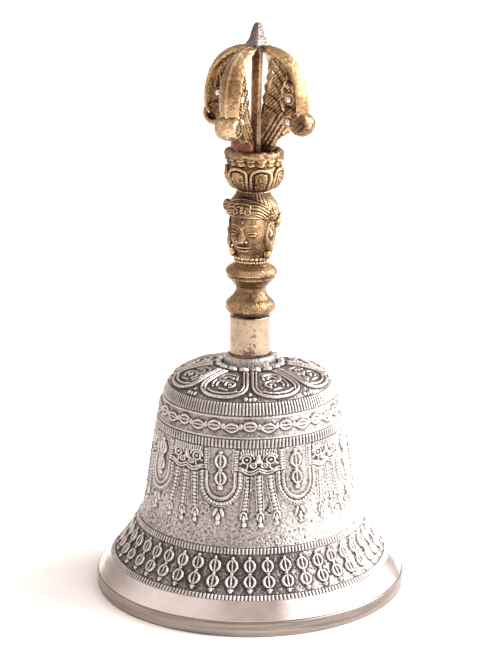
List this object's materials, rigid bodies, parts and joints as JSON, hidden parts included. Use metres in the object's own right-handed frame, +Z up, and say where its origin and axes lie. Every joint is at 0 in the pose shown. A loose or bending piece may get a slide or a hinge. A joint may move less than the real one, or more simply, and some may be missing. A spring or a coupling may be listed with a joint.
{
  "type": "tibetan hand bell",
  "caption": "Cast hand bell with a flared ornamented skirt, turned brass handle with a crowned head and a four-pronged half vajra, and a hanging clapper.",
  "frame": {"origin": "centre of the lip's underside, on the surface that the bell stands on", "axes": "+Z up along the bell's axis, front towards -Y, +X to the viewer's right"},
  "size_m": [0.093, 0.093, 0.1681],
  "materials": {
    "bell_metal": "cast silver-grey bell metal, dark oxide in the recesses, polished lip",
    "polished_brass": "polished pale brass tube with small pits",
    "cast_brass": "rough antique cast brass",
    "nickel_silver": "grey worn white brass",
    "copper_braze": "red-brown oxidised copper braze",
    "forged_iron": "dark forged iron, lightly worn",
    "lac": "dark brown lac"
  },
  "bodies": {
    "bell": {"bell_body": "bell_metal", "handle_sleeve": "polished_brass", "sleeve_packing": "lac", "lac_seal": "lac", "handle_grip": "cast_brass", "central_prong": "cast_brass", "outer_prong_front_left": "cast_brass", "outer_prong_front_right": "cast_brass", "outer_prong_back_right": "cast_brass", "outer_prong_back_left": "cast_brass", "vajra_tip": "nickel_silver", "braze_pool": "copper_braze", "eye_bolt": "forged_iron", "clamp_washer": "forged_iron", "clamp_nut": "forged_iron"},
    "link": {"link_ring": "forged_iron"},
    "clapper": {"clapper_rod": "forged_iron", "clapper_ball": "forged_iron"}
  },
  "joints": [
    {"name": "link_swing", "type": "hinge", "parent": "bell", "child": "link", "pos_m": [0, 0, 0.0541], "axis": [1, 0, 0], "range_deg": [-13, 13]},
    {"name": "clapper_swing", "type": "hinge", "parent": "link", "child": "clapper", "pos_m": [0, 0, 0.0501], "axis": [0, 1, 0], "range_deg": [-36, 36]}
  ]
}
